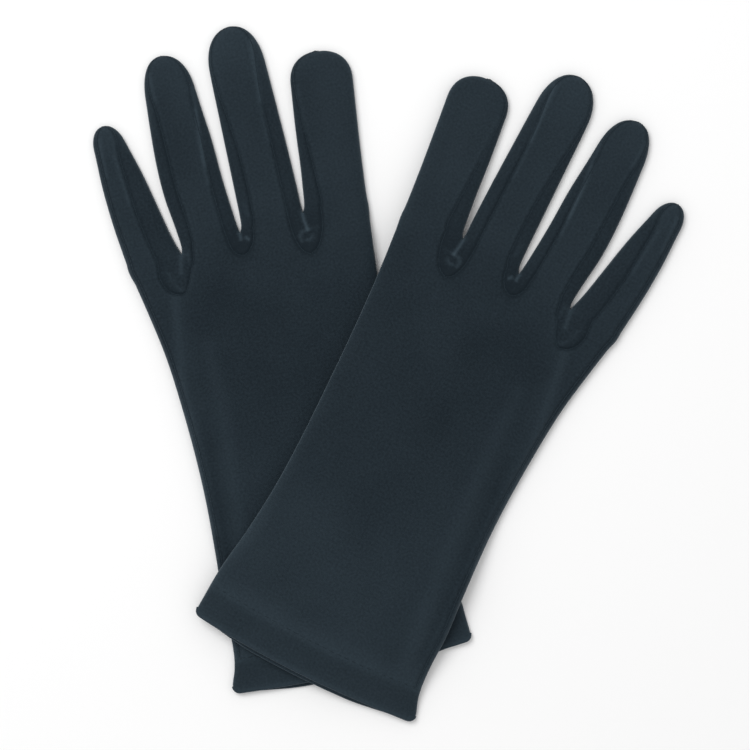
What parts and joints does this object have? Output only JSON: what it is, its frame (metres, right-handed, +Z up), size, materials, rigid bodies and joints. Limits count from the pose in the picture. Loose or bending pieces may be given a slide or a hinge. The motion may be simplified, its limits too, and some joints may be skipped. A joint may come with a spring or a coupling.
{
  "type": "pair of stretch gloves",
  "caption": "Pair of plain dark wrist-length stretch gloves, cut and sewn, lying flat and crossed with the thumbs tucked under the palms.",
  "frame": {"origin": "bottom centre of the pair's box, on the surface that the gloves lie on", "axes": "+Z up out of the surface and through the backs of the gloves; +Y from the cuffs towards the fingertips; +X towards the right glove's fingertips"},
  "size_m": [0.2122, 0.2487, 0.0198],
  "materials": {
    "left_cloth": "matte stretch knit",
    "right_cloth": "matte stretch knit",
    "fourchette_cloth": "matte stretch knit, seen on edge",
    "hem_cloth": "turned-in stretch knit",
    "sewing_thread": "spun polyester thread"
  },
  "bodies": {
    "left_hand": {"left_hand_back": "left_cloth", "left_hand_palm": "left_cloth", "left_side_seam": "left_cloth", "left_hem_back": "hem_cloth", "left_hem_palm": "hem_cloth", "left_hem_stitches": "sewing_thread", "left_crotch_index_middle": "fourchette_cloth", "left_crotch_middle_ring": "fourchette_cloth", "left_crotch_ring_little": "fourchette_cloth"},
    "left_index_finger": {"left_index_back": "left_cloth", "left_index_palm": "left_cloth", "left_index_fourchette": "fourchette_cloth"},
    "left_index_fingertip": {"left_index_tip": "left_cloth"},
    "left_middle_finger": {"left_middle_back": "left_cloth", "left_middle_palm": "left_cloth", "left_middle_fourchette_index_side": "fourchette_cloth", "left_middle_fourchette_ring_side": "fourchette_cloth"},
    "left_middle_fingertip": {"left_middle_tip": "left_cloth"},
    "left_ring_finger": {"left_ring_back": "left_cloth", "left_ring_palm": "left_cloth", "left_ring_fourchette_middle_side": "fourchette_cloth", "left_ring_fourchette_little_side": "fourchette_cloth"},
    "left_ring_fingertip": {"left_ring_tip": "left_cloth"},
    "left_little_finger": {"left_little_back": "left_cloth", "left_little_palm": "left_cloth", "left_little_fourchette": "fourchette_cloth"},
    "left_little_fingertip": {"left_little_tip": "left_cloth"},
    "left_thumb": {"left_thumb_upper": "left_cloth", "left_thumb_lower": "left_cloth"},
    "right_hand": {"right_hand_back": "right_cloth", "right_hand_palm": "right_cloth", "right_side_seam": "right_cloth", "right_hem_back": "hem_cloth", "right_hem_palm": "hem_cloth", "right_hem_stitches": "sewing_thread", "right_crotch_index_middle": "fourchette_cloth", "right_crotch_middle_ring": "fourchette_cloth", "right_crotch_ring_little": "fourchette_cloth"},
    "right_index_finger": {"right_index_back": "right_cloth", "right_index_palm": "right_cloth", "right_index_fourchette": "fourchette_cloth"},
    "right_index_fingertip": {"right_index_tip": "right_cloth"},
    "right_middle_finger": {"right_middle_back": "right_cloth", "right_middle_palm": "right_cloth", "right_middle_fourchette_index_side": "fourchette_cloth", "right_middle_fourchette_ring_side": "fourchette_cloth"},
    "right_middle_fingertip": {"right_middle_tip": "right_cloth"},
    "right_ring_finger": {"right_ring_back": "right_cloth", "right_ring_palm": "right_cloth", "right_ring_fourchette_middle_side": "fourchette_cloth", "right_ring_fourchette_little_side": "fourchette_cloth"},
    "right_ring_fingertip": {"right_ring_tip": "right_cloth"},
    "right_little_finger": {"right_little_back": "right_cloth", "right_little_palm": "right_cloth", "right_little_fourchette": "fourchette_cloth"},
    "right_little_fingertip": {"right_little_tip": "right_cloth"},
    "right_thumb": {"right_thumb_upper": "right_cloth", "right_thumb_lower": "right_cloth"}
  },
  "joints": [
    {"name": "right_glove_lift", "type": "slide", "parent": "left_hand", "child": "right_hand", "axis": [0, 0, 1], "range_m": [0, 0.1]},
    {"name": "left_index_base_fold", "type": "hinge", "parent": "left_hand", "child": "left_index_finger", "pos_m": [-0.01967, 0.06353, 0.007], "axis": [0.9944, 0.1054, 0], "range_deg": [0, 90]},
    {"name": "left_index_tip_fold", "type": "hinge", "parent": "left_index_finger", "child": "left_index_fingertip", "pos_m": [-0.02216, 0.08702, 0.007], "axis": [0.9944, 0.1054, 0], "range_deg": [0, 90]},
    {"name": "left_middle_base_fold", "type": "hinge", "parent": "left_hand", "child": "left_middle_finger", "pos_m": [-0.04252, 0.05938, 0.007], "axis": [0.9753, 0.2207, 0], "range_deg": [0, 90]},
    {"name": "left_middle_tip_fold", "type": "hinge", "parent": "left_middle_finger", "child": "left_middle_fingertip", "pos_m": [-0.04912, 0.08853, 0.007], "axis": [0.9753, 0.2207, 0], "range_deg": [0, 90]},
    {"name": "left_ring_base_fold", "type": "hinge", "parent": "left_hand", "child": "left_ring_finger", "pos_m": [-0.06532, 0.0532, 0.007], "axis": [0.9625, 0.2714, 0], "range_deg": [0, 90]},
    {"name": "left_ring_tip_fold", "type": "hinge", "parent": "left_ring_finger", "child": "left_ring_fingertip", "pos_m": [-0.07299, 0.0804, 0.007], "axis": [0.9625, 0.2714, 0], "range_deg": [0, 90]},
    {"name": "left_little_base_fold", "type": "hinge", "parent": "left_hand", "child": "left_little_finger", "pos_m": [-0.08612, 0.04542, 0.007], "axis": [0.9326, 0.3608, 0], "range_deg": [0, 90]},
    {"name": "left_little_tip_fold", "type": "hinge", "parent": "left_little_finger", "child": "left_little_fingertip", "pos_m": [-0.09362, 0.06481, 0.007], "axis": [0.9326, 0.3608, 0], "range_deg": [0, 90]},
    {"name": "left_thumb_swing", "type": "hinge", "parent": "left_hand", "child": "left_thumb", "pos_m": [-0.01366, -0.01201, 0], "axis": [0, 0, -1], "range_deg": [0, 50]},
    {"name": "right_index_base_fold", "type": "hinge", "parent": "right_hand", "child": "right_index_finger", "pos_m": [0.01736, 0.05653, 0.01261], "axis": [0.9376, -0.344, -0.0502], "range_deg": [0, 90]},
    {"name": "right_index_tip_fold", "type": "hinge", "parent": "right_index_finger", "child": "right_index_fingertip", "pos_m": [0.02546, 0.07871, 0.0118], "axis": [0.9376, -0.344, -0.0502], "range_deg": [0, 90]},
    {"name": "right_middle_base_fold", "type": "hinge", "parent": "right_hand", "child": "right_middle_finger", "pos_m": [0.03849, 0.04695, 0.01151], "axis": [0.8912, -0.4512, -0.0459], "range_deg": [0, 90]},
    {"name": "right_middle_tip_fold", "type": "hinge", "parent": "right_middle_finger", "child": "right_middle_fingertip", "pos_m": [0.05192, 0.07362, 0.01031], "axis": [0.8912, -0.4512, -0.0459], "range_deg": [0, 90]},
    {"name": "right_ring_base_fold", "type": "hinge", "parent": "right_hand", "child": "right_ring_finger", "pos_m": [0.05907, 0.03541, 0.01047], "axis": [0.8665, -0.4973, -0.0437], "range_deg": [0, 90]},
    {"name": "right_ring_tip_fold", "type": "hinge", "parent": "right_ring_finger", "child": "right_ring_fingertip", "pos_m": [0.07308, 0.05993, 0.00926], "axis": [0.8665, -0.4973, -0.0437], "range_deg": [0, 90]},
    {"name": "right_little_base_fold", "type": "hinge", "parent": "right_hand", "child": "right_little_finger", "pos_m": [0.07733, 0.02281, 0.00958], "axis": [0.816, -0.5767, -0.0395], "range_deg": [0, 90]},
    {"name": "right_little_tip_fold", "type": "hinge", "parent": "right_little_finger", "child": "right_little_fingertip", "pos_m": [0.08928, 0.03979, 0.00861], "axis": [0.816, -0.5767, -0.0395], "range_deg": [0, 90]},
    {"name": "right_thumb_swing", "type": "hinge", "parent": "right_hand", "child": "right_thumb", "pos_m": [-0.00715, -0.01537, 0.00815], "axis": [0.0591, 0.0153, 0.9981], "range_deg": [0, 50]}
  ]
}
